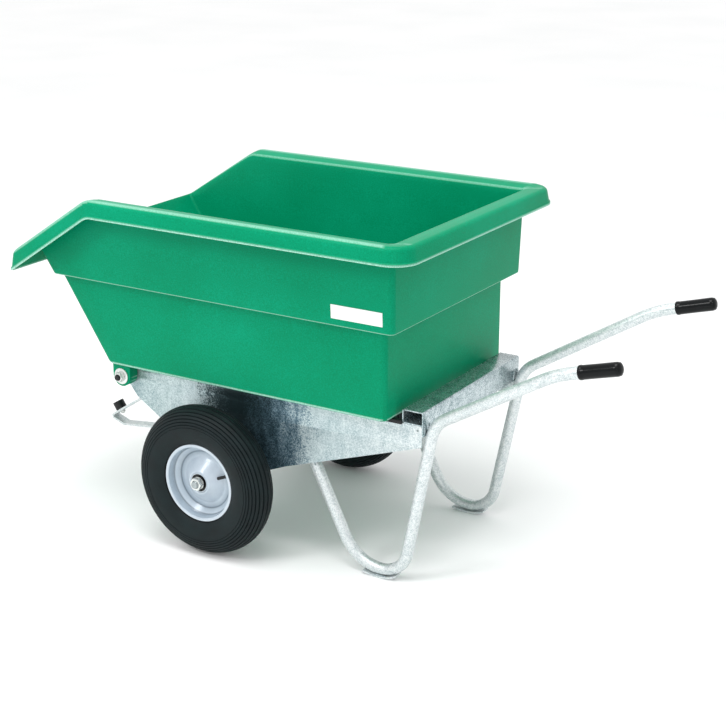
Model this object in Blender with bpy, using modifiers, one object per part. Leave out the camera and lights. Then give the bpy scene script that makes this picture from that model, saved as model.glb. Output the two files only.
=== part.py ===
"""Two-wheeled tipping garden cart: a plastic tub that tips forward on a galvanised frame.

Metres, +Z up. +X points to the handles, the pouring lip is at -X, and Y runs across the cart.
The origin is on the floor, at the middle of the cart's length and width.
"left" is the -Y side, the left hand of a person who pushes the cart.
"""
import math

import bmesh
import bpy
from mathutils import Matrix, Vector

# ---- driving dimensions ---------------------------------------------------------------------
GAP = 0.0003                  # clearance between touching pieces
RUNNING = 0.00005             # least clearance of a turning shaft

AXLE_X = -0.259               # wheel axle, along the cart
WHEEL_R = 0.200               # 4.00-8 pneumatic wheel
WHEEL_Y = 0.342               # middle plane of each wheel
WHEEL_STEPS = 28              # a flat of the tyre lies on the floor
RIM_R = 0.104
VALVE_ANGLE = math.radians(20.0)
AXLE_R = 0.015                # bar between the wheels
JOURNAL_R = 0.010             # its turned-down ends, M20
HUB_HALF = 0.031
HUB_R = (0.0238, 0.0262)
BEARING_R = 0.0235
BEARING_LOW = 0.0170          # inner face of each bearing, from the wheel's middle
HUB_SPACER_R = 0.0135
AXLE_WASHER_R = 0.0168
AXLE_NUT_FLATS, AXLE_NUT_H = 0.030, 0.012
AXLE_TAIL = 0.0205            # end of the axle beyond the hub
VALVE_R, VALVE_HOLE_R, VALVE_CAP_R = 0.0054, 0.0062, 0.0042
STEM_LENGTH = 0.0280

TUB_FLOOR_Z = 0.440
LEDGE_Z = 0.674               # underside of the step in the tub's walls
LEDGE_FILLET = 0.010
RIM_Z = 0.897                 # inner edge of the rim's top
WALL = 0.005
TUB_LOW_HALF = 0.302
TUB_STEP_HALF = 0.3305
TUB_TOP_HALF = 0.339
TUB_LOW_REAR = 0.2535
TUB_STEP_REAR = 0.290
TUB_TOP_REAR = 0.2945
FRONT_BOTTOM_X = -0.598       # front wall, at the tub's floor
FRONT_LEAN = 0.6577           # forward run for each metre of height
KINK_X = -0.579               # where the rim starts to fall towards the lip
LIP_ANGLE = math.radians(33.0)
LIP_FALL = math.tan(LIP_ANGLE)
FLANGE_HALF = 0.389
FLANGE_REAR = 0.349
FLANGE_FRONT = -0.838
FLANGE_FALL = -0.0066         # the flange's top rises from the wall to its edge
FLANGE_DROP = 0.033
FLANGE_FLARE = 0.006
FLANGE_TAPER = 0.005          # how much nearer the middle each side is at the lip
WALL_CORNERS = (0.012, 0.015)     # plan radii of the wall's front and rear corners
FLANGE_CORNERS = (0.010, 0.055)
HEM_CORNERS = (0.012, 0.060)

LABEL_SIZE = (0.143, 0.001, 0.035)
LABEL_X, LABEL_Z = 0.1915, 0.7095

PIVOT_X = -0.568              # hinge of the tub
PIVOT_Z = 0.409
BOLT_R = 0.008                # M16 pivot bolts
LUG_R = 0.028
LUG_Y = (0.2587, 0.2900)
BUSH_R = 0.0110
BOLT_FLATS = 0.024            # across the flats of the M16 head and nut
BOLT_HEAD = 0.010
BOLT_END_Y = 0.3110
NUT_M16 = 0.013               # height of the pivot nut
WASHER_T = 0.003
SPACER_R = 0.0150
PIVOT_WASHER_R = 0.0220

PLATE_Y = (0.2520, 0.2550)    # inner and outer face of each side plate
PLATE_TOP = 0.4317
PLATE_REAR = 0.3277
PLATE_REAR_FOOT_Z = 0.3805
PLATE_CORNER_R = 0.004
PLATE_HEEL = (-0.069, 0.245)  # corner of the plate behind the wheel
PLATE_HOLE = (0.3160, 0.4200, 0.0032)
CROSS_X, CROSS_Z = -0.527, 0.366
CROSS_R = 0.01685
CROSS_WALL = 0.0026
CROSS_WEB_R = 0.027           # plate's round corner about the cross tube
AXLE_WEB_R = 0.030            # and about the axle
BEAM_X = (0.273, 0.328, 0.331)    # front wall, rear wall inside and outside
BEAM_Z = (0.405, 0.432, 0.468)    # hem of the rear wall, underside, top
SHEET = 0.003
STRIP_START_X = 0.100         # rubber edging on the plates
STRIP_SLOT, STRIP_HALF, STRIP_REACH = 0.0018, 0.0060, 0.003

TUBE_R = 0.015
TUBE_WALL = 0.0025
LEG_Y = 0.2366
GRIP_R = 0.0170
GRIP_LENGTH = 0.104
GRIP_END = Vector((0.847, 0.2910, 0.6830))
GRIP_FLOOR = 0.0050           # thickness of the grip's closed end
SKID_LOWEST_X = 0.2090
SKID_START, SKID_LENGTH = 0.157, 0.0965
SKID_T, SKID_W = 0.0045, 0.030
SKID_CURVES = (0.30, 0.085)   # radii in front of and behind the lowest point

BAR_T = 0.006                 # flat bar of the tipping stop
BAR_W = 0.030
NOSE = Vector((-0.8507, 0.1540))
HEEL = Vector((-0.8040, 0.1370))
STUD_REACH = 0.0383           # from the nose to the stud, along the upper arm
BUFFER_R = 0.0165
BUFFER_H = 0.024
BUFFER_POCKET = 0.010
STUD_R = 0.004
STUD_NUT = (0.0075, 0.0062)   # corner radius and height of its nut

SIDES = (("left", -1), ("right", 1))

COLOURS = {
    "tub_green": ((0.03, 0.38, 0.17), 0.45, 0.0),
    "label_white": ((0.85, 0.85, 0.83), 0.5, 0.0),
    "galvanised": ((0.62, 0.65, 0.67), 0.4, 0.9),
    "zinc_plated": ((0.75, 0.76, 0.76), 0.3, 1.0),
    "bolt_black": ((0.03, 0.03, 0.03), 0.4, 0.6),
    "rim_silver": ((0.55, 0.58, 0.65), 0.3, 0.2),
    "bearing_steel": ((0.5, 0.5, 0.5), 0.35, 1.0),
    "tyre_black": ((0.02, 0.027, 0.027), 0.7, 0.0),
    "rubber_black": ((0.015, 0.015, 0.015), 0.55, 0.0),
    "grip_black": ((0.01, 0.01, 0.01), 0.2, 0.0),
}


# ---- scene and object helpers ---------------------------------------------------------------
def clear_scene():
    for obj in list(bpy.data.objects):
        bpy.data.objects.remove(obj, do_unlink=True)


def make_collection(name):
    collection = bpy.data.collections.new(name)
    bpy.context.scene.collection.children.link(collection)
    return collection


def make_material(name):
    colour, roughness, metallic = COLOURS[name]
    material = bpy.data.materials.new(name)
    material.use_nodes = True
    shader = material.node_tree.nodes["Principled BSDF"]
    shader.inputs["Base Color"].default_value = (*colour, 1.0)
    shader.inputs["Roughness"].default_value = roughness
    shader.inputs["Metallic"].default_value = metallic
    return material


def place(name, data, material, collection=None):
    """An object with its own copy of a finish, linked to the cart's collection."""
    obj = bpy.data.objects.new(name, data)
    (collection or PARTS).objects.link(obj)
    if material:
        data.materials.append(make_material(material))
    return obj


def as_mesh(obj):
    """Swap a curve object for a welded mesh object with the same name and place."""
    bpy.context.view_layer.update()
    evaluated = obj.evaluated_get(bpy.context.evaluated_depsgraph_get())
    mesh = bpy.data.meshes.new_from_object(evaluated)
    bm = bmesh.new()
    bm.from_mesh(mesh)
    bmesh.ops.remove_doubles(bm, verts=bm.verts, dist=0.00002)
    bm.to_mesh(mesh)
    bm.free()
    name = obj.name
    matrix = obj.matrix_world.copy()
    collection = obj.users_collection[0]
    bpy.data.objects.remove(obj)
    solid = bpy.data.objects.new(name, mesh)
    collection.objects.link(solid)
    solid.matrix_world = matrix
    return solid


def hang(obj, hinge):
    """Parent an object to the tub's hinge without moving it."""
    obj.parent = hinge
    obj.matrix_parent_inverse = Matrix.Translation(-hinge.location)


def boolean(obj, other, operation):
    """Cut or join with another mesh object, which is kept as a hidden guide."""
    for collection in list(other.users_collection):
        collection.objects.unlink(other)
    CUTTERS.objects.link(other)
    other.hide_render = True
    other.display_type = "WIRE"
    modifier = obj.modifiers.new(operation.title(), "BOOLEAN")
    modifier.operation = operation
    modifier.object = other


# ---- outlines -------------------------------------------------------------------------------
def circle(x, z, radius, count):
    """Points round a circle, counter-clockwise."""
    turns = [2 * math.pi * (i + 0.5) / count for i in range(count)]
    return [(x + radius * math.cos(a), z + radius * math.sin(a)) for a in turns]


def bore(radius, count):
    """Corner radius of a faceted hole in which a shaft turns freely."""
    return (radius + RUNNING) / math.cos(math.pi / count)


def belt(discs, step=math.radians(20.0)):
    """A belt drawn counter-clockwise round discs given as (x, z, radius)."""
    headings = []
    for (x1, z1, r1), (x2, z2, r2) in zip(discs, discs[1:] + discs[:1]):
        run = math.hypot(x2 - x1, z2 - z1)
        headings.append(math.atan2(z2 - z1, x2 - x1) + math.asin((r1 - r2) / run))
    points = []
    for i, (x, z, radius) in enumerate(discs):
        start = headings[i - 1] - math.pi / 2
        sweep = (headings[i] - headings[i - 1] + math.pi) % (2 * math.pi) - math.pi
        count = max(1, math.ceil(abs(sweep) / step)) if radius else 0
        for k in range(count + 1):
            angle = start + (sweep * k / count if count else 0.0)
            points.append((x + radius * math.cos(angle), z + radius * math.sin(angle)))
    return points


def fillet_path(corners, radii, step=math.radians(14.0)):
    """A path through corner points whose inner corners are rounded by arcs."""
    corners = [Vector(c) for c in corners]
    path = [corners[0]]
    for before, corner, after, radius in zip(corners, corners[1:], corners[2:], radii):
        back = (before - corner).normalized()
        ahead = (after - corner).normalized()
        turn = math.pi - back.angle(ahead)
        reach = radius * math.tan(turn / 2)
        centre = corner + (back + ahead).normalized() * (radius / math.cos(turn / 2))
        spoke = corner + back * reach - centre
        count = max(2, math.ceil(turn / step))
        for k in range(count + 1):
            angle = turn * k / count
            path.append(centre + spoke * math.cos(angle) - back * radius * math.sin(angle))
    path.append(corners[-1])
    return path


def strip(path, thickness):
    """The outline of a bent flat bar whose middle line is a path of (x, z) points."""
    near, far = [], []
    for i, point in enumerate(path):
        before = path[max(i - 1, 0)]
        after = path[min(i + 1, len(path) - 1)]
        normal = Vector((before.y - after.y, after.x - before.x)).normalized()
        near.append(point + normal * thickness / 2)
        far.append(point - normal * thickness / 2)
    return [tuple(p) for p in near + far[::-1]]


# ---- solids ---------------------------------------------------------------------------------
def flat(name, loops, y, thickness, material, across=False):
    """Outlines in X and Z, extruded along Y; with across, outlines in Y and Z along X."""
    curve = bpy.data.curves.new(name, "CURVE")
    curve.dimensions = "2D"
    curve.fill_mode = "BOTH"
    curve.extrude = thickness / 2
    for loop in loops:
        spline = curve.splines.new("POLY")
        spline.points.add(len(loop) - 1)
        for point, (u, v) in zip(spline.points, loop):
            point.co = (u, v, 0.0, 1.0)
        spline.use_cyclic_u = True
    obj = place(name, curve, material)
    obj.rotation_euler = (math.pi / 2, 0.0, math.pi / 2 if across else 0.0)
    obj.location = (y, 0.0, 0.0) if across else (0.0, y, 0.0)
    return obj


def turned(name, profile, material, place_at, axis, steps, closed=True):
    """A profile of (radius, height) points turned about an axis through place_at.

    The profile runs from the top of its outer side down, and back up its inner side.
    """
    start = math.pi / steps
    mesh = bpy.data.meshes.new(name)
    verts = [(r * math.cos(start), r * math.sin(start), h) for r, h in profile]
    edges = [(i, i + 1) for i in range(len(verts) - 1)]
    if closed:
        edges.append((len(verts) - 1, 0))
    mesh.from_pydata(verts, edges, [])
    obj = place(name, mesh, material)
    screw = obj.modifiers.new("Turn", "SCREW")
    screw.axis = "Z"
    screw.steps = screw.render_steps = steps
    screw.use_merge_vertices = True
    screw.merge_threshold = 0.00005
    screw.use_smooth_shade = True
    turn = axis.to_track_quat("Z", "X").to_matrix().to_4x4()
    obj.matrix_world = Matrix.Translation(place_at) @ turn
    return obj


def rod(name, radius, start, end, material, steps=16):
    """A solid round bar between two points."""
    start, end = Vector(start), Vector(end)
    length = (end - start).length
    profile = [(0.0, length), (radius, length), (radius, 0.0), (0.0, 0.0)]
    return turned(name, profile, material, start, (end - start).normalized(), steps, closed=False)


def hexagon(across_flats, x, z):
    corner = across_flats / math.sqrt(3.0)
    angles = [math.radians(30.0 + 60.0 * i) for i in range(6)]
    return [(x + corner * math.cos(a), z + corner * math.sin(a)) for a in angles]


def nut(name, across_flats, bore, x, z, y, height, material="zinc_plated"):
    loops = [hexagon(across_flats, x, z), circle(x, z, bore, 16)]
    return flat(name, loops, y, height, material)


def washer(name, bore, radius, x, z, y, thickness, material="zinc_plated"):
    return flat(name, [circle(x, z, radius, 24), circle(x, z, bore, 16)], y, thickness, material)


# ---- tub ------------------------------------------------------------------------------------
def front_wall_x(z):
    return FRONT_BOTTOM_X - FRONT_LEAN * (z - TUB_FLOOR_Z)


def kink_x(drop):
    """Where the rim's fall starts on a line this far below its top."""
    return KINK_X + drop * math.tan(LIP_ANGLE / 2)


def rim_z(x, drop=0.0):
    """Height of a line at a distance below the rim: level, then falling towards the lip."""
    return RIM_Z - WALL - drop + min(0.0, x - kink_x(drop)) * LIP_FALL


def plan_ring(half, front, rear, front_radius, rear_radius, drop=0.0):
    """A rounded rectangle seen from above, with a point on each side at the rim's kink."""
    def corner(x, y, radius, first, count):
        angles = [math.radians(first + 90.0 * i / count) for i in range(count + 1)]
        return [(x + radius * math.cos(a), y + radius * math.sin(a)) for a in angles]

    rear_x, rear_y = rear - rear_radius, half - rear_radius
    front_x, front_y = front + front_radius, half - front_radius
    return (corner(rear_x, rear_y, rear_radius, 0, 4) + [(kink_x(drop), half)]
            + corner(front_x, front_y, front_radius, 90, 2)
            + corner(front_x, -front_y, front_radius, 180, 2) + [(kink_x(drop), -half)]
            + corner(rear_x, -rear_y, rear_radius, 270, 4))


def tub_rings():
    """Rings of the tub's outer skin, from its floor up and over to the flange's hem."""
    rings = []
    for half, rear, z in ((TUB_LOW_HALF, TUB_LOW_REAR, TUB_FLOOR_Z),
                          (TUB_LOW_HALF, TUB_LOW_REAR, LEDGE_Z - LEDGE_FILLET),
                          (TUB_STEP_HALF, TUB_STEP_REAR, LEDGE_Z)):
        plan = plan_ring(half, front_wall_x(z), rear, *WALL_CORNERS)
        rings.append([(x, y, z) for x, y in plan])
    slope_start = rim_z(KINK_X) - LIP_FALL * KINK_X
    wall_top = (slope_start + LIP_FALL * front_wall_x(0.0)) / (1.0 + LIP_FALL * FRONT_LEAN)
    for half, front, rear, radii, drop, taper in (
            (TUB_TOP_HALF, front_wall_x(wall_top), TUB_TOP_REAR, WALL_CORNERS, 0.0, 0.0),
            (FLANGE_HALF, FLANGE_FRONT, FLANGE_REAR, FLANGE_CORNERS, FLANGE_FALL, FLANGE_TAPER),
            (FLANGE_HALF + FLANGE_FLARE, FLANGE_FRONT - FLANGE_FLARE,
             FLANGE_REAR + FLANGE_FLARE, HEM_CORNERS, FLANGE_DROP, FLANGE_TAPER)):
        ring = []
        for x, y in plan_ring(half, front, rear, *radii, drop):
            share = max(0.0, KINK_X - x) / (KINK_X - front)
            ring.append((x, math.copysign(abs(y) - taper * share, y), rim_z(x, drop)))
        rings.append(ring)
    return rings


def build_tub(hinge):
    bm = bmesh.new()
    loops = []
    for points in tub_rings():
        verts = [bm.verts.new(p) for p in points]
        loops.append([bm.edges.new(pair) for pair in zip(verts, verts[1:] + verts[:1])])
    for lower, upper in zip(loops, loops[1:]):
        bmesh.ops.bridge_loops(bm, edges=lower + upper)
    bmesh.ops.holes_fill(bm, edges=loops[0])
    bmesh.ops.recalc_face_normals(bm, faces=bm.faces)
    floor = min(bm.faces, key=lambda f: f.calc_center_median().z)
    if floor.normal.z > 0:
        bmesh.ops.reverse_faces(bm, faces=bm.faces)
    mesh = bpy.data.meshes.new("tub")
    bm.to_mesh(mesh)
    bm.free()
    tub = place("tub", mesh, "tub_green")
    hang(tub, hinge)
    shell = tub.modifiers.new("Wall", "SOLIDIFY")
    shell.thickness = WALL
    shell.offset = -1.0
    shell.use_even_offset = True
    for name, side in SIDES:
        seat = circle(PIVOT_X, PIVOT_Z, BUSH_R + GAP + RUNNING, 20)
        lug = as_mesh(flat("lug_" + name, [lug_outline(), seat], side * sum(LUG_Y) / 2,
                           LUG_Y[1] - LUG_Y[0], None))
        boolean(tub, lug, "UNION")
    return tub


def lug_outline():
    """A round-ended tab that hangs from the tub's floor round the pivot."""
    top = TUB_FLOOR_Z + WALL / 2
    half_turn = [math.pi * i / 10 for i in range(11)]
    round_end = [(PIVOT_X - LUG_R * math.cos(a), PIVOT_Z - LUG_R * math.sin(a)) for a in half_turn]
    return [(PIVOT_X - LUG_R, top)] + round_end + [(PIVOT_X + LUG_R, top)]


def build_label(hinge):
    """A blank name plate on the tub's left wall, which leans outwards a little."""
    lean = math.atan((TUB_TOP_HALF - TUB_STEP_HALF) / (RIM_Z - WALL - LEDGE_Z))
    wall_y = TUB_STEP_HALF + (LABEL_Z - LEDGE_Z) * math.tan(lean)
    bpy.ops.mesh.primitive_cube_add(size=1.0, location=(0.0, 0.0, 0.0))
    label = bpy.context.object
    label.name = "label_plate"
    label.data.transform(Matrix.Diagonal((*LABEL_SIZE, 1.0)))
    label.data.materials.append(make_material("label_white"))
    label.rotation_euler = (lean, 0.0, 0.0)
    label.location = (LABEL_X, -(wall_y + GAP + LABEL_SIZE[1] / 2), LABEL_Z)
    for collection in list(label.users_collection):
        collection.objects.unlink(label)
    PARTS.objects.link(label)
    hang(label, hinge)


# ---- frame ----------------------------------------------------------------------------------
def build_side_plates():
    corner_x = PLATE_REAR - PLATE_CORNER_R
    discs = [(corner_x, PLATE_TOP - PLATE_CORNER_R, PLATE_CORNER_R),
             (PIVOT_X, PIVOT_Z, PLATE_TOP - PIVOT_Z),
             (CROSS_X, CROSS_Z, CROSS_WEB_R),
             (AXLE_X, WHEEL_R, AXLE_WEB_R),
             (*PLATE_HEEL, 0.0),
             (corner_x, PLATE_REAR_FOOT_Z, PLATE_CORNER_R)]
    holes = [circle(PIVOT_X, PIVOT_Z, BOLT_R + GAP, 20),
             circle(AXLE_X, WHEEL_R, AXLE_R + GAP, 24),
             circle(*PLATE_HOLE, 12)]
    for name, side in SIDES:
        flat("side_plate_" + name, [belt(discs)] + holes, side * sum(PLATE_Y) / 2,
             PLATE_Y[1] - PLATE_Y[0], "galvanised")


def build_cross_members():
    loops = [circle(CROSS_X, CROSS_Z, radius, 20) for radius in (CROSS_R, CROSS_R - CROSS_WALL)]
    flat("front_cross_tube", loops, 0.0, 2 * (PLATE_Y[0] - GAP), "galvanised")
    front, rear_inside, rear = BEAM_X
    hem, underside, top = BEAM_Z
    outline = [(front, underside), (rear_inside, underside), (rear_inside, hem), (rear, hem),
               (rear, top), (front, top)]
    hollow = [(front + SHEET, underside + SHEET), (rear_inside, underside + SHEET),
              (rear_inside, top - SHEET), (front + SHEET, top - SHEET)]
    flat("rear_beam", [outline, hollow], 0.0, 2 * PLATE_Y[1], "galvanised")


def build_rest_strips():
    """Rubber edging on the plates' top edges, which carries the tub's floor."""
    middle = sum(PLATE_Y) / 2
    low, roof, top = PLATE_TOP - STRIP_REACH, PLATE_TOP + GAP, TUB_FLOOR_Z - GAP
    start, end = STRIP_START_X, BEAM_X[0] - GAP
    for name, side in SIDES:
        y = side * middle
        outline = [(y - STRIP_HALF, low), (y - STRIP_SLOT, low), (y - STRIP_SLOT, roof),
                   (y + STRIP_SLOT, roof), (y + STRIP_SLOT, low), (y + STRIP_HALF, low),
                   (y + STRIP_HALF, top), (y - STRIP_HALF, top)]
        flat("rest_strip_" + name, [outline], (start + end) / 2, end - start, "rubber_black",
             across=True)


def handle_corners(side):
    """Corner points of one tube: strut, foot, upright, shaft of the handle and grip."""
    foot_z = 0.0201
    return [(-0.0230, side * LEG_Y, 0.3330), (0.1316, side * LEG_Y, foot_z),
            (0.2680, side * LEG_Y, foot_z), (0.3522, side * LEG_Y, 0.4380),
            (0.6900, side * 0.2880, 0.6400), GRIP_END_AT[side] - GRIP_AXIS[side] * 0.0055]


def build_handles():
    for name, side in SIDES:
        path = fillet_path(handle_corners(side), (0.120, 0.075, 0.085, 0.300))
        curve = bpy.data.curves.new("handle_tube_" + name, "CURVE")
        curve.dimensions = "3D"
        curve.bevel_depth = TUBE_R
        curve.bevel_resolution = 3
        spline = curve.splines.new("POLY")
        spline.points.add(len(path) - 1)
        for point, co in zip(spline.points, path):
            point.co = (*co, 1.0)
        tube = as_mesh(place("handle_tube_" + name, curve, "galvanised"))
        wall = tube.modifiers.new("Wall", "SOLIDIFY")
        wall.thickness = TUBE_WALL
        wall.offset = -1.0


def build_grips():
    bore = TUBE_R + GAP
    profile = [(0.0, 0.0), (0.009, -0.0010), (GRIP_R, -0.0060), (GRIP_R, -GRIP_LENGTH),
               (bore, -GRIP_LENGTH), (bore, -GRIP_FLOOR), (0.0, -GRIP_FLOOR)]
    for name, side in SIDES:
        turned("grip_" + name, profile, "grip_black", GRIP_END_AT[side], GRIP_AXIS[side], 18,
               closed=False)


def build_skids():
    """Wear plates under the feet, flatter in front than the tube they protect."""
    def underside(x):
        offset = x - SKID_LOWEST_X
        return offset ** 2 / (2 * SKID_CURVES[offset > 0.0])

    xs = [SKID_START + SKID_LENGTH * i / 10 for i in range(11)]
    outline = [(x, underside(x)) for x in xs] + [(x, underside(x) + SKID_T) for x in xs[::-1]]
    for name, side in SIDES:
        flat("foot_skid_" + name, [outline], side * LEG_Y, SKID_W, "galvanised")


def build_tipping_stop():
    """A bent flat bar between the axle and the front cross tube, with a rubber buffer."""
    axle = Vector((AXLE_X, WHEEL_R))
    cross = Vector((CROSS_X, CROSS_Z))
    arm = (cross - NOSE).normalized()
    top_end = cross - arm * (CROSS_R + GAP)
    low_end = axle + (HEEL - axle).normalized() * (AXLE_R + GAP)
    path = fillet_path([low_end, HEEL, NOSE, top_end], (0.015, 0.006), math.radians(30.0))
    bracket = as_mesh(flat("stop_bracket", [strip(path, BAR_T)], 0.0, BAR_W, "galvanised"))
    out = Vector((-arm.y, 0.0, arm.x))
    foot = Vector((NOSE.x, 0.0, NOSE.y)) + Vector((arm.x, 0.0, arm.y)) * STUD_REACH
    seat = foot + out * (BAR_T / 2 + GAP)
    below = foot - out * (BAR_T / 2 + GAP)
    hole = rod("stud_hole", STUD_R + GAP, below - out * 0.004, seat + out * 0.004, None)
    boolean(bracket, hole, "DIFFERENCE")
    pocket = STUD_R + GAP
    profile = [(0.0, BUFFER_H), (BUFFER_R, BUFFER_H), (BUFFER_R, 0.0), (pocket, 0.0),
               (pocket, BUFFER_POCKET), (0.0, BUFFER_POCKET)]
    turned("stop_buffer", profile, "rubber_black", seat, out, 20, closed=False)
    rod("buffer_stud", STUD_R, below - out * 0.0085, seat + out * (BUFFER_POCKET - GAP),
        "zinc_plated", 12)
    hole_r = pocket / math.cos(math.pi / 6)
    nut_r, nut_h = STUD_NUT
    section = [(nut_r, 0.0), (nut_r, -nut_h), (hole_r, -nut_h), (hole_r, 0.0)]
    turned("buffer_nut", section, "zinc_plated", below, out, 6)


def build_axle():
    reach = WHEEL_Y + HUB_HALF + AXLE_TAIL
    shoulder = WHEEL_Y - HUB_HALF - 2 * GAP
    half = [(0.0, reach), (JOURNAL_R, reach), (JOURNAL_R, shoulder), (AXLE_R, shoulder)]
    profile = half + [(r, -h) for r, h in half[::-1]]
    turned("axle", profile, "galvanised", Vector((AXLE_X, 0.0, WHEEL_R)), Vector((0, 1, 0)), 24,
           closed=False)
    for name, side in SIDES:
        washer_y = WHEEL_Y + HUB_HALF + GAP + WASHER_T / 2
        nut_y = washer_y + WASHER_T / 2 + GAP + AXLE_NUT_H / 2
        washer("axle_washer_" + name, JOURNAL_R + GAP, AXLE_WASHER_R, AXLE_X, WHEEL_R,
               side * washer_y, WASHER_T)
        nut("axle_nut_" + name, AXLE_NUT_FLATS, JOURNAL_R + GAP, AXLE_X, WHEEL_R, side * nut_y,
            AXLE_NUT_H)


def build_pivots(hinge):
    """An M16 bolt on each side through the plate, a spacer, the tub's lug, a washer and a nut."""
    for name, side in SIDES:
        def at(y):
            return Vector((PIVOT_X, side * y, PIVOT_Z))

        head_y = PLATE_Y[0] - GAP - BOLT_HEAD / 2
        bolt = rod("pivot_bolt_" + name, BOLT_R, at(head_y), at(BOLT_END_Y), "bolt_black")
        head = as_mesh(flat("bolt_head_" + name, [hexagon(BOLT_FLATS, PIVOT_X, PIVOT_Z)],
                            side * head_y, BOLT_HEAD, None))
        boolean(bolt, head, "UNION")
        washer("pivot_spacer_" + name, BOLT_R + GAP, SPACER_R, PIVOT_X, PIVOT_Z,
               side * (PLATE_Y[1] + LUG_Y[0]) / 2, LUG_Y[0] - PLATE_Y[1] - 2 * GAP)
        bush = flat("pivot_bush_" + name, [circle(PIVOT_X, PIVOT_Z, BUSH_R, 20),
                    circle(PIVOT_X, PIVOT_Z, bore(BOLT_R, 20), 20)], side * sum(LUG_Y) / 2,
                    LUG_Y[1] - LUG_Y[0] - 2 * GAP, "zinc_plated")
        hang(bush, hinge)
        washer_y = LUG_Y[1] + GAP + WASHER_T / 2
        nut_y = washer_y + WASHER_T / 2 + GAP + NUT_M16 / 2
        washer("pivot_washer_" + name, BOLT_R + GAP, PIVOT_WASHER_R, PIVOT_X, PIVOT_Z,
               side * washer_y, WASHER_T)
        nut("pivot_nut_" + name, BOLT_FLATS, BOLT_R + GAP, PIVOT_X, PIVOT_Z, side * nut_y,
            NUT_M16)


# ---- wheels ---------------------------------------------------------------------------------
def mirrored(half):
    """A full section from its upper half of (radius, height) points."""
    return half + [(r, -h) for r, h in half[::-1]]


def build_wheel(name, side):
    centre = Vector((AXLE_X, side * WHEEL_Y, WHEEL_R))
    out = Vector((0, side, 0))
    crown = WHEEL_R / math.cos(math.pi / WHEEL_STEPS)

    def turn(piece, profile, material, steps=WHEEL_STEPS, axis=out):
        return turned(piece + "_" + name, profile, material, centre, axis, steps)

    outside = [(0.1045, 0.0315), (0.1060, 0.0350), (0.1180, 0.0435), (0.1450, 0.0490),
               (0.1740, 0.0430), (0.1930, 0.0260), (crown, 0.0080)]
    inside = [(0.1860, -0.0180), (0.1600, -0.0410), (0.1210, -0.0380), (0.0985, -0.0190),
              (0.0980, -0.0310)]
    turn("tyre", mirrored(outside) + mirrored(inside[::-1]), "tyre_black")

    skin = [(0.1005, 0.0120), (0.1215, 0.0350), (0.1570, 0.0385), (0.1825, 0.0160)]
    inner_tube = turn("inner_tube", mirrored(skin), "rubber_black", 20)
    hollow = inner_tube.modifiers.new("Wall", "SOLIDIFY")
    hollow.thickness = 0.0025
    hollow.offset = -1.0

    rim = [(0.0268, 0.0312), (0.0310, 0.0300), (0.0620, 0.0027), (0.0770, 0.0027),
           (0.0935, 0.0160), (0.0955, 0.0338), (RIM_R, 0.0345), (RIM_R, 0.0320),
           (0.0975, 0.0315), (0.0958, 0.0140), (0.0780, 0.0002), (0.0608, 0.0002),
           (0.0298, 0.0275), (0.0268, 0.0287)]
    rim_outer = turn("rim_outer", rim, "rim_silver")
    turn("rim_inner", rim, "rim_silver", axis=-out)

    running = bore(JOURNAL_R, WHEEL_STEPS)
    turn("hub_tube", mirrored([(HUB_R[1], HUB_HALF)]) + mirrored([(HUB_R[0], -HUB_HALF)]),
         "galvanised")
    spacer_half = BEARING_LOW - GAP
    for piece, outer, low, high in (
            ("bearing_outer", BEARING_R, BEARING_LOW, HUB_HALF),
            ("bearing_inner", BEARING_R, -HUB_HALF, -BEARING_LOW),
            ("bearing_spacer", HUB_SPACER_R, -spacer_half, spacer_half)):
        turn(piece, [(outer, high), (outer, low), (running, low), (running, high)],
             "bearing_steel")

    # the valve leans outwards from the inner tube, through a hole in the outer half of the rim
    spoke = Vector((math.cos(VALVE_ANGLE), 0.0, math.sin(VALVE_ANGLE)))

    def at(radius, height):
        return centre + spoke * radius + out * height

    root, tip = at(0.0975, 0.0085), at(0.0550, 0.0200)
    lean = (tip - root).normalized()
    boolean(rim_outer, rod("valve_hole_" + name, VALVE_HOLE_R, root, tip, None), "DIFFERENCE")
    boolean(inner_tube, rod("tube_hole_" + name, 0.0030, root, root - lean * 0.012, None, 8),
            "DIFFERENCE")
    cap_end = root + lean * STEM_LENGTH
    rod("valve_stem_" + name, VALVE_R, root, cap_end, "rubber_black", 12)
    rod("valve_cap_" + name, VALVE_CAP_R, cap_end + lean * GAP, tip, "rubber_black", 10)


clear_scene()
PARTS = make_collection("garden_cart")
CUTTERS = make_collection("cutters")
GRIP_AXIS = {side: Vector((0.1061, side * 0.0020, 0.0290)).normalized() for _, side in SIDES}
GRIP_END_AT = {side: Vector((GRIP_END.x, side * GRIP_END.y, GRIP_END.z)) for _, side in SIDES}

hinge = bpy.data.objects.new("tub_hinge", None)
hinge.location = (PIVOT_X, 0.0, PIVOT_Z)
PARTS.objects.link(hinge)
build_tub(hinge)
build_label(hinge)
build_pivots(hinge)
build_side_plates()
build_cross_members()
build_rest_strips()
build_handles()
build_grips()
build_skids()
build_tipping_stop()
build_axle()
for side_name, side_sign in SIDES:
    build_wheel(side_name, side_sign)
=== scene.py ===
"""Two-wheeled tipping garden cart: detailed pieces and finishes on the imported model.

Metres, +Z up. The pouring lip is at -X, the handles at +X, and the left side is -Y.
"""
import math

import bmesh
import bpy
from mathutils import Matrix, Vector
from mathutils.kdtree import KDTree


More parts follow.
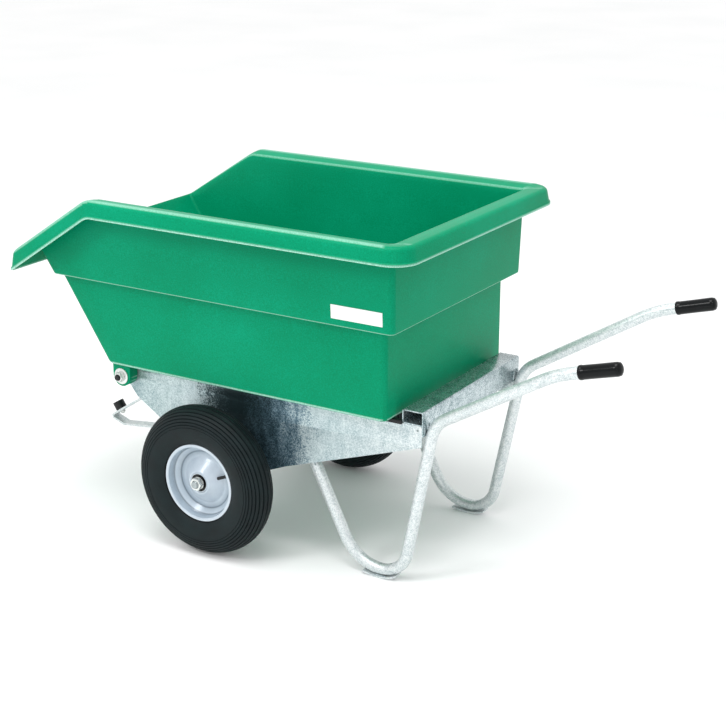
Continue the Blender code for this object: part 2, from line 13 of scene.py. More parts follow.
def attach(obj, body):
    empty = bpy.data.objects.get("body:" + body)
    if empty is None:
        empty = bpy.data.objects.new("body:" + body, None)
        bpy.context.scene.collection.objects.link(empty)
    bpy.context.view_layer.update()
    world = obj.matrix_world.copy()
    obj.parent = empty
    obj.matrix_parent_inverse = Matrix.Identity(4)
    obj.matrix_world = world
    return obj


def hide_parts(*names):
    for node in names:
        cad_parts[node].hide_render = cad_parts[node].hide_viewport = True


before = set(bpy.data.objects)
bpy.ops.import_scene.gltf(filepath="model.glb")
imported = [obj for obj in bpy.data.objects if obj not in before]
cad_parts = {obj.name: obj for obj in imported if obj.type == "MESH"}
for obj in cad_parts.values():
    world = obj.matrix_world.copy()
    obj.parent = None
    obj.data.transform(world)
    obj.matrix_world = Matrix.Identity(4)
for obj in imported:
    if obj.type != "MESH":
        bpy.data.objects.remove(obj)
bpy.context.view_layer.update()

# ---- sizes
AXLE_X = -0.259
AXLE_Z = 0.200
WHEEL_Y = 0.342
RIM_R = 0.104
HUB_HALF = 0.031
JOURNAL_R = 0.010
VALVE_ANGLE = math.radians(20.0)
STEM = 0.0280                            # length of the valve's stem
WHEEL_STEPS = 144

TUB_FLOOR_Z = 0.440
TUB_WALL = 0.005
LEDGE_Z = 0.674
RIM_Z = 0.897
LOW_HALF, LOW_REAR = 0.302, 0.2535       # walls below the step
STEP_HALF, STEP_REAR = 0.3305, 0.290     # walls above it
TOP_HALF, TOP_REAR = 0.339, 0.2945       # walls at the rim
FLANGE_FRONT, FLANGE_REAR = -0.838, 0.349
FLANGE_WIDTH = 0.050
HEM_FLARE = 0.0063
HEM_DROP = 0.0330
KINK_X = -0.579
LIP_ANGLE = math.radians(33.0)
LIP_FALL = math.tan(LIP_ANGLE)
FRONT_BOTTOM_X = -0.598
FRONT_LEAN = 0.6577

PIVOT_X = -0.568
PIVOT_Z = 0.409
LUG_R = 0.028
LUG_Y = (0.2587, 0.2900)
BOLT_R = 0.008
BOLT_REACH = 0.3110
HINGE_NUT, HINGE_NUT_T = 0.024, 0.013    # across flats, thickness
AXLE_NUT, AXLE_NUT_T = 0.030, 0.012
WASHER_T = 0.003

PLATE_Y = (0.2520, 0.2550)
PLATE_TOP = 0.4317
PLATE_REAR = 0.3277
CROSS = Vector((-0.527, 0.366))
CROSS_R = 0.01685
BEAM_X = (0.273, 0.331)
BEAM_Z = (0.405, 0.432, 0.468)
TUBE_R = 0.015
LEG_Y = 0.2366
GRIP_END = Vector((0.847, 0.2910, 0.6830))
GRIP_LENGTH = 0.104
GAP = 0.0003

SIDES = (("left", -1), ("right", 1))


# ---- helpers
def only(obj):
    """Make one object the whole selection."""
    bpy.ops.object.select_all(action="DESELECT")
    obj.select_set(True)
    bpy.context.view_layer.objects.active = obj


def fresh(add_shape, **settings):
    """Add a primitive with nothing else selected."""
    bpy.ops.object.select_all(action="DESELECT")
    add_shape(**settings)
    return bpy.context.object


def settle(obj, matrix=None):
    """Write an object's place into its mesh, so that the object sits at the origin."""
    if matrix is not None:
        obj.matrix_world = matrix @ obj.matrix_world
    only(obj)
    bpy.ops.object.transform_apply(location=True, rotation=True, scale=True)
    return obj


def along(axis, place):
    """The matrix that turns +Z to an axis and moves the origin to a place."""
    turn = Vector(axis).normalized().to_track_quat("Z", "X").to_matrix().to_4x4()
    return Matrix.Translation(place) @ turn


def clean(obj, outwards=True):
    """Merge doubles, and point the faces outwards."""
    only(obj)
    bpy.ops.object.mode_set(mode="EDIT")
    bpy.ops.mesh.select_all(action="SELECT")
    bpy.ops.mesh.remove_doubles(threshold=0.00001)
    if outwards:
        bpy.ops.mesh.normals_make_consistent(inside=False)
    bpy.ops.object.mode_set(mode="OBJECT")
    return obj


def apply_modifier(obj, kind, **settings):
    """Add a modifier and apply it."""
    only(obj)
    modifier = obj.modifiers.new(kind.title(), kind)
    for name, value in settings.items():
        setattr(modifier, name, value)
    bpy.ops.object.modifier_apply(modifier=modifier.name)
    return obj


def soften(obj, width, segments=2, angle=35.0):
    """Round the edges sharper than an angle."""
    return apply_modifier(obj, "BEVEL", width=width, segments=segments, limit_method="ANGLE",
                          angle_limit=math.radians(angle), use_clamp_overlap=True)


def merge_shape(obj, other, operation):
    """Cut with, join or intersect another closed shape, which is used up."""
    apply_modifier(obj, "BOOLEAN", operation=operation, object=other)
    bpy.data.objects.remove(other)
    return obj


def piece(obj, name, finish, body, slot, *nodes, angle=35.0):
    """Name, shade and finish a piece, and put it on its body in place of CAD nodes."""
    obj.name = name
    obj.data.name = name
    only(obj)
    bpy.ops.object.shade_smooth_by_angle(angle=math.radians(angle))
    obj.data.materials.clear()
    obj.data.materials.append(finish)
    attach(obj, body)
    if nodes:
        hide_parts(*nodes)
    return obj


# ---- outlines and sections
def arc(x, z, radius, first, last, count):
    """Points on an arc, angles in degrees."""
    turns = [math.radians(first + (last - first) * i / count) for i in range(count + 1)]
    return [(x + radius * math.cos(a), z + radius * math.sin(a)) for a in turns]


def disc_outline(x, z, radius, count):
    return arc(x, z, radius, 0.0, 360.0, count)[:-1]


def round_corner(before, corner, after, radius, count):
    """The arc that rounds one corner of a path."""
    back = (before - corner).normalized()
    ahead = (after - corner).normalized()
    turn = math.pi - back.angle(ahead)
    if radius <= 0.0 or turn < 0.001:
        return [corner]
    spoke = back * radius * math.tan(turn / 2)
    centre = corner + (back + ahead).normalized() * (radius / math.cos(turn / 2))
    spoke = corner + spoke - centre
    angles = [turn * k / count for k in range(count + 1)]
    return [centre + spoke * math.cos(a) - back * radius * math.sin(a) for a in angles]


def rounded_path(corners, radii, count=8):
    """An open path whose inner corners are rounded."""
    corners = [Vector(c) for c in corners]
    path = [corners[0]]
    for i, radius in enumerate(radii, start=1):
        path += round_corner(corners[i - 1], corners[i], corners[i + 1], radius, count)
    return path + [corners[-1]]


def rounded_loop(corners, radii, count=4):
    """A closed outline whose corners are rounded."""
    corners = [Vector(c) for c in corners]
    radii = radii if isinstance(radii, (list, tuple)) else [radii] * len(corners)
    path = []
    for i, (corner, radius) in enumerate(zip(corners, radii)):
        after = corners[(i + 1) % len(corners)]
        path += round_corner(corners[i - 1], corner, after, radius, count)
    return path


def belt(discs, step=math.radians(5.0)):
    """A belt drawn counter-clockwise round discs given as (x, z, radius)."""
    headings = []
    for (x1, z1, r1), (x2, z2, r2) in zip(discs, discs[1:] + discs[:1]):
        run = math.hypot(x2 - x1, z2 - z1)
        headings.append(math.atan2(z2 - z1, x2 - x1) + math.asin((r1 - r2) / run))
    points = []
    for i, (x, z, radius) in enumerate(discs):
        start = headings[i - 1] - math.pi / 2
        sweep = (headings[i] - headings[i - 1] + math.pi) % (2 * math.pi) - math.pi
        count = max(1, math.ceil(abs(sweep) / step)) if radius else 0
        for k in range(count + 1):
            angle = start + (sweep * k / count if count else 0.0)
            points.append((x + radius * math.cos(angle), z + radius * math.sin(angle)))
    return points


def strip(path, thickness):
    """The outline of a bent flat bar whose middle line is a path of (x, z) points."""
    near, far = [], []
    for i, point in enumerate(path):
        before = path[max(i - 1, 0)]
        after = path[min(i + 1, len(path) - 1)]
        normal = Vector((before.y - after.y, after.x - before.x)).normalized()
        near.append(point + normal * thickness / 2)
        far.append(point - normal * thickness / 2)
    return near + far[::-1]


def smooth_path(points, count):
    """A smooth curve through points."""
    points = [Vector(p) for p in points]
    ends = [points[0] * 2 - points[1]] + points + [points[-1] * 2 - points[-2]]
    path = []
    for a, b, c, d in zip(ends, ends[1:], ends[2:], ends[3:]):
        for k in range(count):
            t = k / count
            path.append(0.5 * (2 * b + (c - a) * t + (2 * a - 5 * b + 4 * c - d) * t * t
                               + (3 * b - a - 3 * c + d) * t ** 3))
    return path + [points[-1]]


# ---- shapes
def turned(section, steps=64, closed=True):
    """A section of (radius, height) points spun about Z. An open one runs axis to axis."""
    points = [Vector((r, 0.0, h)) for r, h in section]
    if closed:
        points.append(points[0])
    obj = settle(fresh(bpy.ops.mesh.primitive_plane_add, size=0.001, location=points[0]))
    bpy.ops.object.mode_set(mode="EDIT")
    bpy.ops.mesh.select_all(action="SELECT")
    bpy.ops.mesh.merge(type="CENTER")
    for here, there in zip(points, points[1:]):
        bpy.ops.mesh.extrude_vertices_move(TRANSFORM_OT_translate={"value": there - here})
    bpy.ops.mesh.select_all(action="SELECT")
    bpy.ops.mesh.spin(steps=steps, angle=2 * math.pi, center=(0, 0, 0), axis=(0, 0, 1))
    bpy.ops.object.mode_set(mode="OBJECT")
    return clean(obj)


def turned_at(place, section, steps=64, closed=True):
    """A turned piece, moved to its place."""
    return settle(turned(section, steps, closed), place)


def ring_section(inner, outer, low, high, radius=0.0004):
    """A washer or bush section with its edges rounded."""
    loop = [(outer, high), (outer, low), (inner, low), (inner, high)]
    return rounded_loop(loop, radius, 2)


def outline_solid(loops, y, thickness, across=False):
    """Outlines in X and Z, filled and given a thickness along Y; with across, along X."""
    curve = fresh(bpy.ops.curve.primitive_bezier_circle_add, location=(0.0, 0.0, 0.0)).data
    curve.dimensions = "2D"
    curve.fill_mode = "BOTH"
    curve.extrude = thickness / 2
    curve.splines.clear()
    for loop in loops:
        spline = curve.splines.new("POLY")
        spline.points.add(len(loop) - 1)
        for point, (u, v) in zip(spline.points, loop):
            point.co = (u, v, 0.0, 1.0)
        spline.use_cyclic_u = True
    bpy.ops.object.convert(target="MESH")
    obj = bpy.context.object
    obj.rotation_euler = (math.pi / 2, 0.0, math.pi / 2 if across else 0.0)
    obj.location = (y, 0.0, 0.0) if across else (0.0, y, 0.0)
    return clean(settle(obj))


def swept(path, radius, sides=32):
    """A round bar along a path, with closed ends."""
    curve = fresh(bpy.ops.curve.primitive_nurbs_path_add, location=(0.0, 0.0, 0.0)).data
    curve.splines.clear()
    curve.bevel_depth = radius
    curve.bevel_resolution = sides // 4 - 1
    curve.use_fill_caps = True
    spline = curve.splines.new("POLY")
    spline.points.add(len(path) - 1)
    for point, co in zip(spline.points, path):
        point.co = (*co, 1.0)
    bpy.ops.object.convert(target="MESH")
    return clean(bpy.context.object)


def hexagon_solid(across_flats, bore, low, high, chamfer_top=True, chamfer_low=True):
    """A hexagon nut or bolt head on Z, with its corners turned down."""
    corner = across_flats / math.sqrt(3.0)
    nut = fresh(bpy.ops.mesh.primitive_cylinder_add, vertices=6, radius=corner,
                depth=high - low, location=(0.0, 0.0, (high + low) / 2))
    soften(settle(nut), 0.0003, 1)
    drop = (corner - across_flats / 2) * 0.62
    flat = across_flats / 2 * 0.985
    over = corner + 0.001
    section = [(0.0, high)]
    section += [(flat, high), (over, high - drop * 1.5)] if chamfer_top else [(over, high)]
    section += [(over, low + drop * 1.5), (flat, low)] if chamfer_low else [(over, low)]
    section += [(0.0, low)]
    merge_shape(nut, turned(section, 48, closed=False), "INTERSECT")
    if bore:
        mouth = bore + 0.0008
        tool = [(0.0, high + 0.001), (mouth + 0.001, high + 0.001), (bore, high - 0.0008),
                (bore, low + 0.0008), (mouth + 0.001, low - 0.001), (0.0, low - 0.001)]
        merge_shape(nut, turned(tool, 32, closed=False), "DIFFERENCE")
    return nut


def weld_bead(path, radius):
    """A rippled bead of weld metal along a path."""
    path = [Vector(p) for p in path]
    dense = []
    for a, b in zip(path, path[1:]):
        count = max(2, round((b - a).length / 0.0012))
        dense += [a.lerp(b, k / count) for k in range(count)]
    dense.append(path[-1])
    obj = swept(dense, radius, 12)
    tree = KDTree(len(dense))
    for i, point in enumerate(dense):
        tree.insert(point, i)
    tree.balance()
    for vertex in obj.data.vertices:
        point, index, _ = tree.find(vertex.co)
        end = min(index, len(dense) - 1 - index)
        swell = 1.0 + 0.16 * math.sin(index * 1.9) + 0.05 * math.sin(index * 0.7)
        swell *= min(1.0, 0.55 + 0.2 * end)
        vertex.co = point + (vertex.co - point) * swell
    return obj


# ---- finishes
def colour(code):
    """An sRGB hex value as linear RGBA."""
    values = [int(code[i:i + 2], 16) / 255 for i in (1, 3, 5)]
    linear = [v / 12.92 if v <= 0.04045 else ((v + 0.055) / 1.055) ** 2.4 for v in values]
    return (*linear, 1.0)


def per_mm(size):
    """Texture scale for a pattern whose cells are this many millimetres across."""
    return 1000.0 / size


def add(tree, kind, links=None, stops=None, **settings):
    """Add a node, with its settings, its inputs and, for a ramp, its colour stops."""
    node = tree.nodes.new(kind)
    for name, value in settings.items():
        setattr(node, name, value)
    for name, value in (links or {}).items():
        if isinstance(value, bpy.types.NodeSocket):
            tree.links.new(value, node.inputs[name])
        else:
            node.inputs[name].default_value = value
    if stops:
        elements = node.color_ramp.elements
        while len(elements) < len(stops):
            elements.new(0.5)
        for element, (position, code) in zip(elements, stops):
            element.position = position
            element.color = colour(code)
    return node


def blank(name, **settings):
    """A new material with constants on its shader: (material, node tree, shader, coordinates)."""
    material = bpy.data.materials.new(name)
    material.use_nodes = True
    tree = material.node_tree
    shader = tree.nodes["Principled BSDF"]
    for socket, value in settings.items():
        shader.inputs[socket.replace("_", " ")].default_value = value
    where = add(tree, "ShaderNodeTexCoord").outputs["Object"]
    return material, tree, shader, where


def dress(tree, shader, base, pattern, spread, rough, height, strength, depth_mm):
    """Link a colour, a roughness that follows a pattern's spread, and a fine relief."""
    gloss = add(tree, "ShaderNodeMapRange", {"Value": pattern, "From Min": spread[0],
                                             "From Max": spread[1], "To Min": rough[0],
                                             "To Max": rough[1]})
    bump = add(tree, "ShaderNodeBump", {"Height": height, "Strength": strength,
                                        "Distance": depth_mm / 1000})
    for output, socket in ((base, "Base Color"), (gloss.outputs["Result"], "Roughness"),
                           (bump.outputs["Normal"], "Normal")):
        tree.links.new(output, shader.inputs[socket])


def moulded_polyethylene():
    """Rotationally moulded polyethylene: satin, faintly grainy, deeper green in the shade."""
    material, tree, shader, where = blank("moulded_polyethylene_green", IOR=1.50,
                                          Specular_IOR_Level=0.06)
    # the real peel is about 1.5 mm across; drawn at 3 mm so that it shows
    peel = add(tree, "ShaderNodeTexNoise", {"Vector": where, "Scale": per_mm(3.0), "Detail": 3.0,
                                            "Roughness": 0.6})
    drift = add(tree, "ShaderNodeTexNoise", {"Vector": where, "Scale": per_mm(320),
                                             "Detail": 3.0, "Roughness": 0.55})
    blend = add(tree, "ShaderNodeMix", {"Factor": 0.62, 2: drift.outputs["Fac"],
                                        3: peel.outputs["Fac"]}, data_type="FLOAT")
    tone = add(tree, "ShaderNodeValToRGB", {"Fac": blend.outputs[0]},
               stops=[(0.34, "#007B54"), (0.50, "#008860"), (0.66, "#069570")])
    # painted highlights: pale lines where the light catches the hem, the floor's edge, the step
    # and the rim's edges, broken up by the peel
    edge = add(tree, "ShaderNodeAttribute", attribute_name="painted_edge_highlight")
    peel_break = add(tree, "ShaderNodeMapRange", {"Value": peel.outputs["Fac"], "From Min": 0.35,
                                            "From Max": 0.60, "To Min": 0.55})
    amount = add(tree, "ShaderNodeMath", {0: edge.outputs["Fac"], 1: peel_break.outputs["Result"]},
                 operation="MULTIPLY")
    pale = add(tree, "ShaderNodeMix", {0: amount.outputs[0], 6: tone.outputs["Color"],
                                       7: colour("#B4E2D2")}, data_type="RGBA")
    dress(tree, shader, pale.outputs[2], blend.outputs[0], (0.3, 0.7), (0.30, 0.44),
          peel.outputs["Fac"], 0.35, 0.7)
    return material


def galvanised(name, stops, grain_mm, cloud_mm, share, streak=1.0, reflection_band=None, strength=0.3,
               rough=(0.28, 0.50), metal=0.55):
    """Hot-dip zinc: fine grey crystals under slow clouds, duller where the zinc is thick."""
    material, tree, shader, where = blank(name, Metallic=metal, IOR=1.50)
    drawn = add(tree, "ShaderNodeMapping", {"Vector": where, "Scale": (1.0, 1.0, streak)})
    crystals = add(tree, "ShaderNodeTexVoronoi", {"Vector": where, "Scale": per_mm(grain_mm)},
                   feature="F1")
    cell = add(tree, "ShaderNodeSeparateColor", {"Color": crystals.outputs["Color"]})
    clouds = add(tree, "ShaderNodeTexNoise", {"Vector": drawn.outputs["Vector"],
                                              "Scale": per_mm(cloud_mm), "Detail": 6.0,
                                              "Roughness": 0.66})
    blend = add(tree, "ShaderNodeMix", {"Factor": share, 2: clouds.outputs["Fac"],
                                        3: cell.outputs["Red"]}, data_type="FLOAT")
    tone = add(tree, "ShaderNodeValToRGB", {"Fac": blend.outputs[0]}, stops=stops)
    base = tone.outputs["Color"]
    if reflection_band:
        # a painted reflection laid along the cart: a dark grey-blue band, as of the tyre mirrored
        # in the zinc, between lighter zinc, with ragged, streaked edges
        place = add(tree, "ShaderNodeSeparateXYZ", {"Vector": where})
        ragged = add(tree, "ShaderNodeMath", {0: blend.outputs[0], 1: 0.22, 2: -0.11},
                     operation="MULTIPLY_ADD")
        reach = add(tree, "ShaderNodeMath", {0: place.outputs["X"], 1: ragged.outputs[0]},
                    operation="ADD")
        part = add(tree, "ShaderNodeMapRange", {"Value": reach.outputs[0], "From Min": -0.60,
                                                "From Max": 0.35})
        shade = add(tree, "ShaderNodeValToRGB", {"Fac": part.outputs["Result"]}, stops=reflection_band)
        mixed = add(tree, "ShaderNodeMix", {0: 1.0, 6: base, 7: shade.outputs["Color"]},
                    data_type="RGBA", blend_type="MULTIPLY")
        base = mixed.outputs[2]
    dress(tree, shader, base, blend.outputs[0], (0.0, 1.0), rough, blend.outputs[0], strength,
          0.4)
    return material


def speckled(name, stops, grain_mm, strength, rough, rings=None, **constants):
    """A finish with one fine grain that shifts its colour, gloss and relief a little.

    With rings, painted shade lies at given shares of the wheel's radius: dark lines in the rim's
    grooves and a darker tyre bead where it meets the rim.
    """
    material, tree, shader, where = blank(name, **constants)
    grain = add(tree, "ShaderNodeTexNoise", {"Vector": where, "Scale": per_mm(grain_mm),
                                             "Detail": 3.0})
    drift = add(tree, "ShaderNodeTexNoise", {"Vector": where, "Scale": per_mm(grain_mm * 25),
                                             "Detail": 2.0})
    blend = add(tree, "ShaderNodeMix", {"Factor": 0.5, 2: grain.outputs["Fac"],
                                        3: drift.outputs["Fac"]}, data_type="FLOAT")
    tone = add(tree, "ShaderNodeValToRGB", {"Fac": blend.outputs[0]}, stops=stops)
    base = tone.outputs["Color"]
    if rings:
        centred = add(tree, "ShaderNodeMapping", {"Vector": where, "Scale": (5.0, 0.0, 5.0),
                                                  "Location": (-5 * AXLE_X, 0.0, -5 * AXLE_Z)})
        radius = add(tree, "ShaderNodeVectorMath", {0: centred.outputs["Vector"]},
                     operation="LENGTH")
        ring_shade = add(tree, "ShaderNodeValToRGB", {"Fac": radius.outputs["Value"]}, stops=rings)
        mixed = add(tree, "ShaderNodeMix", {0: 1.0, 6: base, 7: ring_shade.outputs["Color"]},
                    data_type="RGBA", blend_type="MULTIPLY")
        base = mixed.outputs[2]
    dress(tree, shader, base, blend.outputs[0], (0.3, 0.7), rough, grain.outputs["Fac"],
          strength, 0.3)
    return material


GREEN = moulded_polyethylene()
# the plate's zinc carries a painted reflection: a dark band where the tyre is mirrored, with
# light zinc before and after it
PLATE_ZINC = galvanised(
    "galvanised_sheet_plate", [(0.30, "#AEBCC0"), (0.50, "#D0D7D9"), (0.70, "#E6EAEA")],
    2.6, 26.0, 0.35, streak=0.35, strength=0.25,
    reflection_band=[(0.02, "#B6C9CC"), (0.14, "#DCE8E8"), (0.275, "#E4EEF0"), (0.318, "#6A8084"),
           (0.35, "#35494D"), (0.44, "#2E4448"), (0.53, "#5C7886"), (0.585, "#8CA6B4"),
           (0.64, "#D8E4E6"), (1.0, "#F2F5F5")])
BEAM_ZINC = galvanised("galvanised_sheet_beam", [(0.34, "#7D9094"), (0.50, "#A9B8BC"),
                                                 (0.68, "#CBD6D9")], 2.4, 30.0, 0.35,
                       rough=(0.16, 0.36), metal=0.85)
TUBE_ZINC = galvanised("galvanised_tube", [(0.30, "#B4BFC1"), (0.50, "#CFD6D7"),
                                           (0.70, "#E2E6E6")], 2.2, 14.0, 0.4)
WELD_ZINC = galvanised("galvanised_weld", [(0.30, "#6E8084"), (0.50, "#9DADB1"),
                                           (0.70, "#CDD6D8")], 2.2, 8.0, 0.4)
NUT_ZINC = speckled("zinc_plated_steel", [(0.35, "#C2C7C5"), (0.65, "#E8EAE7")], 1.6, 0.08,
                    (0.22, 0.34), Metallic=0.75)
AXLE_STEEL = speckled("drawn_steel", [(0.35, "#8F9799"), (0.65, "#B9C0C1")], 1.2, 0.10,
                      (0.30, 0.42), Metallic=0.95)
BOLT_BLACK = speckled("black_oxide_steel", [(0.35, "#0A0B0C"), (0.65, "#16181A")], 1.2, 0.10,
                      (0.35, 0.5), Metallic=0.3)
# the rim's dark rings are painted shade in the concave corners of its grooves
RIM_PAINT = speckled("silver_grey_enamel", [(0.35, "#B6C2CD"), (0.65, "#C8D2DA")], 1.4, 0.05,
                     (0.28, 0.38), Metallic=0.1, Coat_Weight=0.35, Coat_Roughness=0.10,
                     rings=[(0.300, "#F4F6F8"), (0.370, "#C4CCD2"), (0.386, "#7F8A92"),
                            (0.400, "#D8DEE2"), (0.444, "#F2F5F7"), (0.458, "#88939A"),
                            (0.470, "#DCE2E6"), (0.492, "#F4F6F7"), (0.506, "#FFFFFF")])
# the tyre's dark ring inside the rim's radius is painted shade where the bead meets the rim
TYRE_RUBBER = speckled("tyre_rubber", [(0.35, "#0A1315"), (0.65, "#142123")], 1.8, 0.35,
                       (0.46, 0.62), IOR=1.52, Specular_IOR_Level=0.18,
                       rings=[(0.525, "#3A3F40"), (0.54, "#FFFFFF")])
TUBE_RUBBER = speckled("butyl_rubber", [(0.35, "#121415"), (0.65, "#1C1E1F")], 1.5, 0.2,
                       (0.5, 0.62), IOR=1.52, Specular_IOR_Level=0.3)
MOULDED_RUBBER = speckled("moulded_rubber", [(0.35, "#090A0C"), (0.65, "#131518")], 1.2, 0.22,
                          (0.40, 0.54), IOR=1.52, Specular_IOR_Level=0.35)
GRIP_VINYL = speckled("dipped_vinyl", [(0.35, "#030506"), (0.65, "#0A0E10")], 2.4, 0.10,
                      (0.10, 0.18), IOR=1.53, Specular_IOR_Level=0.16)
LABEL_FILM = speckled("white_label_film", [(0.35, "#E9EDEC"), (0.65, "#F4F6F5")], 2.0, 0.05,
                      (0.35, 0.45), IOR=1.5)


# ---- tub
def front_wall_x(z):
    return FRONT_BOTTOM_X - FRONT_LEAN * (z - TUB_FLOOR_Z)


def kink_shift(drop):
    """The kink of a line this far below the rim lies nearer the handles."""
    return max(0.0, drop) * math.tan(LIP_ANGLE / 2)


def rim_drop(x, drop=0.0):
    """How far a rim line has fallen at x: level, a soft kink, then straight to the lip."""
    soft = 0.014
    past = KINK_X + kink_shift(drop) - x
    if past < -soft:
        return 0.0
    if past < soft:
        return LIP_FALL * (past + soft) ** 2 / (4 * soft)
    return LIP_FALL * past


WALL_DRAFT = 0.0085 / (RIM_Z - TUB_WALL - LEDGE_Z)
LIP_TAPER = 0.0055


def narrower(x, out, drop):
    """How much nearer the middle a point of the rim is where the rim falls."""
    if out <= 0.0:
        return (rim_drop(x) + drop) * WALL_DRAFT
    share = max(0.0, KINK_X - x) / (KINK_X - FLANGE_FRONT)
    return share * LIP_TAPER


SIDE_STOPS = [0.20, 0.05, -0.10, -0.25, -0.40, -0.50]
KINK_STOPS = [KINK_X + offset for offset in (0.014, 0.009, 0.004, -0.001, -0.006, -0.010, -0.014)]
LIP_STOPS = [-0.64, -0.70, -0.75]


def plan_ring(half, front, rear, front_radius, rear_radius, height, out=None):
    """One ring of the tub's skin, seen from above as a rounded rectangle."""
    def corner(x, y, radius, first, count):
        return arc(x, y, radius, first, first + 90.0, count)

    share = (rear - front) / (FLANGE_REAR - FLANGE_FRONT)
    at_rim = out is not None
    shift = kink_shift(height) if at_rim else 0.0
    stops = SIDE_STOPS + [x + shift for x in KINK_STOPS] + LIP_STOPS
    if not at_rim:
        stops = [front + (x - FLANGE_FRONT) * share for x in stops]
    rear_x, rear_y = rear - rear_radius, half - rear_radius
    front_x, front_y = front + front_radius, half - front_radius
    plan = corner(rear_x, rear_y, rear_radius, 0, 8) + [(x, half) for x in stops]
    plan += corner(front_x, front_y, front_radius, 90, 5)
    plan += corner(front_x, -front_y, front_radius, 180, 5)
    plan += [(x, -half) for x in stops[::-1]] + corner(rear_x, -rear_y, rear_radius, 270, 8)
    if at_rim:
        plan = [(x, math.copysign(abs(y) - narrower(x, out, height), y)) for x, y in plan]
        top = RIM_Z - TUB_WALL - height
        return [Vector((x, y, top - rim_drop(x, height))) for x, y in plan]
    return [Vector((x, y, height)) for x, y in plan]


def rim_front(drop):
    """Where the front wall is this far below the falling rim."""
    slope_start = RIM_Z - TUB_WALL - LIP_FALL * KINK_X - drop
    top = (slope_start + LIP_FALL * front_wall_x(0.0)) / (1.0 + LIP_FALL * FRONT_LEAN)
    return front_wall_x(top)


def tub_rings():
    """Rings of the outer skin, from the floor up the walls and over to the flange's hem."""
    rings = []
    floor_r, front_r, rear_r = 0.010, 0.012, 0.015
    for k in range(6):
        a = math.radians(18.0 * k)
        inset, rise = floor_r * (1.0 - math.sin(a)), floor_r * (1.0 - math.cos(a))
        z = TUB_FLOOR_Z + rise
        rings.append(plan_ring(LOW_HALF - inset, front_wall_x(z) + inset, LOW_REAR - inset,
                               front_r, rear_r, z))
    step = rounded_path([(LOW_HALF, 0.640), (LOW_HALF, 0.6645), (STEP_HALF, LEDGE_Z),
                         (0.3310, 0.686)], (0.004, 0.0035), 5)
    for half, z in step:
        share = (half - LOW_HALF) / (STEP_HALF - LOW_HALF)
        rear = LOW_REAR + (STEP_REAR - LOW_REAR) * share
        rings.append(plan_ring(half, front_wall_x(z), rear, front_r, rear_r, z))
    # the flange's top rises a little towards its outer edge
    section = rounded_path([(0.0, 0.016), (0.0, 0.0), (0.026, -0.0045), (0.0490, -0.0066),
                            (0.0541, 0.0272), (0.0560, 0.0288),
                            (FLANGE_WIDTH + HEM_FLARE, HEM_DROP)],
                           (0.0045, 0.080, 0.0080, 0.0, 0.0), 5)
    for out, drop in section:
        # the flange is 50 mm wide at the sides, 54.5 at the rear and less at the lip
        share = min(1.0, max(0.0, out / FLANGE_WIDTH))
        flare = max(0.0, out - FLANGE_WIDTH)
        front = rim_front(drop if share < 0.1 else 0.0)
        rear = TOP_REAR + (FLANGE_REAR - TOP_REAR) * share + flare
        if share > 0.1:
            front += (FLANGE_FRONT - front) * share - flare
        rings.append(plan_ring(TOP_HALF + out, front, rear, front_r, rear_r + 0.042 * share,
                               drop, out))
    return rings


def pulled_shell(rings):
    """A circle of edges pulled through rings of points, one extrusion for each."""
    obj = fresh(bpy.ops.mesh.primitive_circle_add, vertices=len(rings[0]), radius=0.3)
    for vertex, point in zip(obj.data.vertices, rings[0]):
        vertex.co = point
    bpy.ops.object.mode_set(mode="EDIT")
    bpy.ops.mesh.select_mode(type="EDGE")
    bpy.ops.mesh.select_all(action="SELECT")
    for before, after in zip(rings, rings[1:]):
        bpy.ops.mesh.extrude_edges_move()
        finder = KDTree(len(before))
        for i, point in enumerate(before):
            finder.insert(point, i)
        finder.balance()
        mesh = bmesh.from_edit_mesh(obj.data)
        pulled = [v for v in mesh.verts if v.select]
        for vertex, index in [(v, finder.find(v.co)[1]) for v in pulled]:
            vertex.co = after[index]
        bmesh.update_edit_mesh(obj.data)
    mesh = bmesh.from_edit_mesh(obj.data)
    for edge in mesh.edges:
        heights = [v.co.z for v in edge.verts]
        edge.select_set(max(heights) < rings[0][0].z + 0.00001)
    bmesh.update_edit_mesh(obj.data)
    bpy.ops.mesh.edge_face_add()
    bpy.ops.mesh.select_mode(type="VERT")
    bpy.ops.mesh.select_all(action="SELECT")
    bpy.ops.mesh.normals_make_consistent(inside=False)
    bpy.ops.object.mode_set(mode="OBJECT")
    floor = min(obj.data.polygons, key=lambda face: face.center.z)
    if floor.normal.z > 0:
        only(obj)
        bpy.ops.object.mode_set(mode="EDIT")
        bpy.ops.mesh.select_all(action="SELECT")
        bpy.ops.mesh.flip_normals()
        bpy.ops.object.mode_set(mode="OBJECT")
    return obj


def mark_painted_highlights(tub):
    """How strongly each point carries a painted highlight: most on the hem, less on the step and
    the rim's edges.
    """
    painted_edge_highlight = tub.data.attributes.new("painted_edge_highlight", "FLOAT", "POINT")
    for vertex, value in zip(tub.data.vertices, painted_edge_highlight.data):
        x, y, z = vertex.co
        y = abs(y)
        hem_x = max(x, FLANGE_FRONT - HEM_FLARE)
        below_rim = RIM_Z - TUB_WALL - rim_drop(hem_x, HEM_DROP) - z
        outside = y > 0.300 or x > 0.2520 or x < front_wall_x(z) + 0.002
        hem = below_rim > HEM_DROP - 0.0033 and (y > 0.376 or x > 0.345 or x < -0.836)
        floor_edge = outside and 0.4405 < z < 0.4475
        step = outside and (0.6725 < z < 0.6760 or 0.6636 < z < 0.6652)
        ridge = below_rim < -0.0090 and y > 0.3795 and x < 0.30
        inner_edge = below_rim < 0.004 and y < 0.3410 and (y > 0.3345 or 0.290 < x < 0.297)
        for found, amount in ((hem, 1.0), (floor_edge, 0.85), (step, 0.55), (ridge, 0.45),
                              (inner_edge, 0.30)):
            if found:
                value.value = amount
                break


